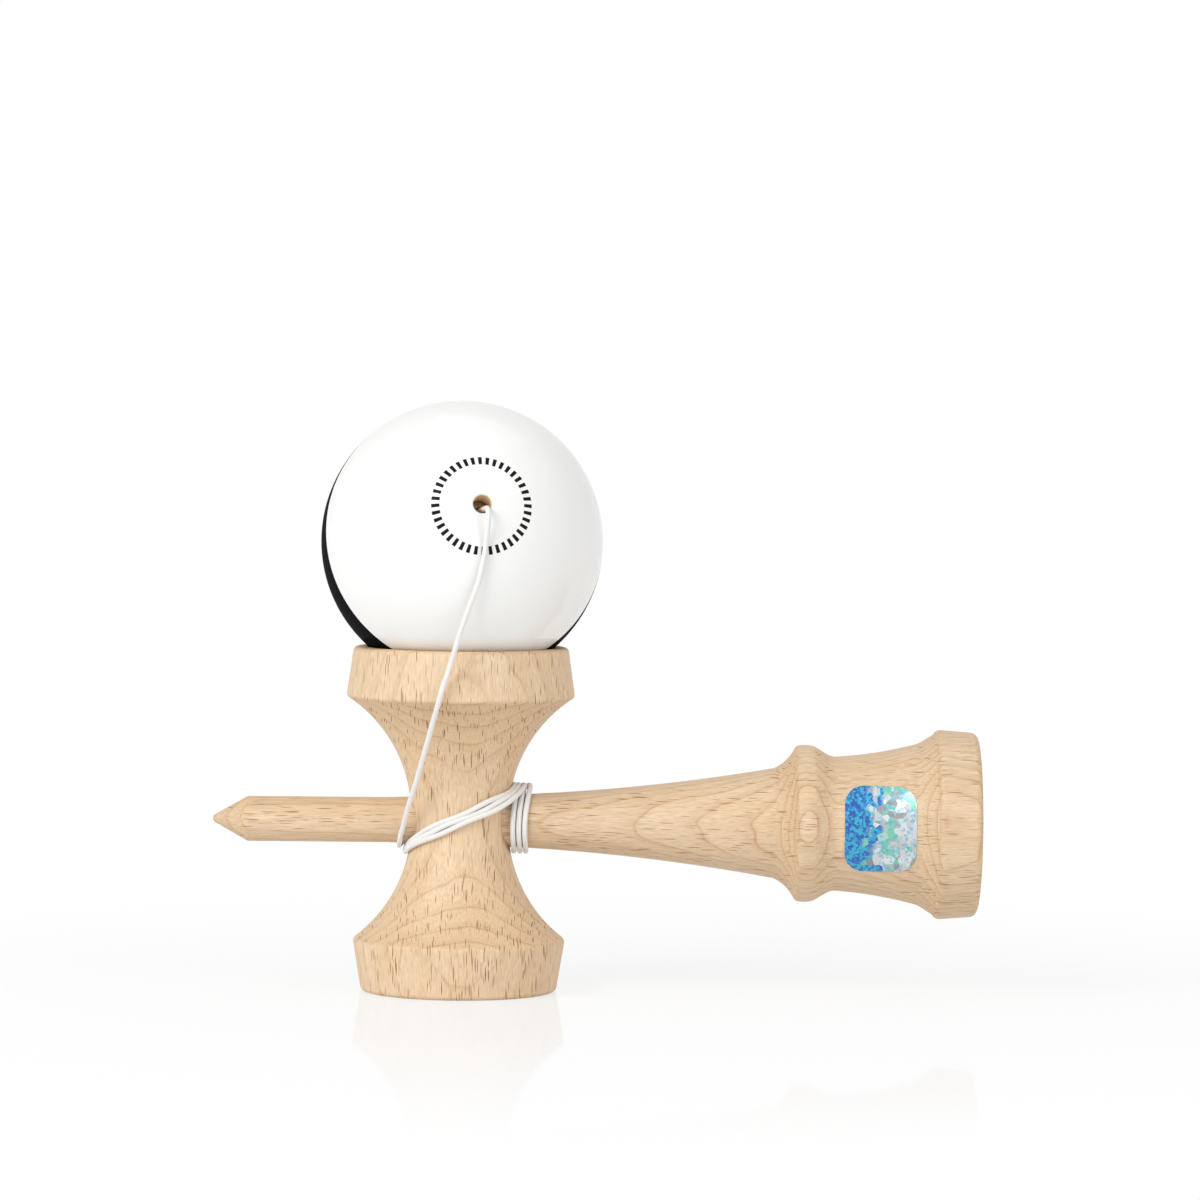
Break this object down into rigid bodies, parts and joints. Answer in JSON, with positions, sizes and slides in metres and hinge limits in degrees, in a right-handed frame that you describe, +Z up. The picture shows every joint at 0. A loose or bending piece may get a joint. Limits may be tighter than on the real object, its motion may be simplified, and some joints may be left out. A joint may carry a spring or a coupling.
{
  "type": "kendama",
  "caption": "Wooden kendama: a spiked turned handle through a double cup, a holed painted ball resting in the big cup, and a string wound round the waist and handle.",
  "frame": {"origin": "centre of the small cup's rim, on the surface that the toy stands on", "axes": "+Z up the cups' axis to the ball, +X along the ken to its base cup, -Y to the front with the string and the label"},
  "size_m": [0.163, 0.0615, 0.1259],
  "materials": {
    "ken_wood": "sanded beech, satin, grain along the ken",
    "sarado_wood": "sanded beech, satin, grain along the cups' axis",
    "tama_paint": "wood under high-gloss paint, white round the string hole and black behind",
    "bead_wood": "plain turned wood",
    "string": "white braided cord",
    "label_foil": "metallised film in blue, teal and silver"
  },
  "bodies": {
    "ken": {"ken": "ken_wood", "sarado": "sarado_wood", "foil_label": "label_foil", "ken_knot": "string", "string_ken_end": "string", "string_winding": "string"},
    "string_lead": {"string_lead_lower": "string", "string_lead_upper": "string"},
    "tama": {"tama": "tama_paint", "string_tama_end": "string", "bead_knot": "string"},
    "bead": {"bead": "bead_wood"}
  },
  "joints": [
    {"name": "tama_lift", "type": "slide", "parent": "ken", "child": "string_lead", "axis": [0, 0, 1], "range_m": [0, 0.03], "deforming": ["string_lead_lower"]},
    {"name": "tama_turn", "type": "hinge", "parent": "string_lead", "child": "tama", "pos_m": [0, 0, 0.09595], "axis": [0, 0, 1], "range_deg": [-40, 40], "deforming": ["string_lead_upper"]},
    {"name": "bead_spin", "type": "hinge", "parent": "tama", "child": "bead", "pos_m": [0, 0, 0.09595], "axis": [0.1496, -0.9445, 0.2924], "continuous": true}
  ]
}
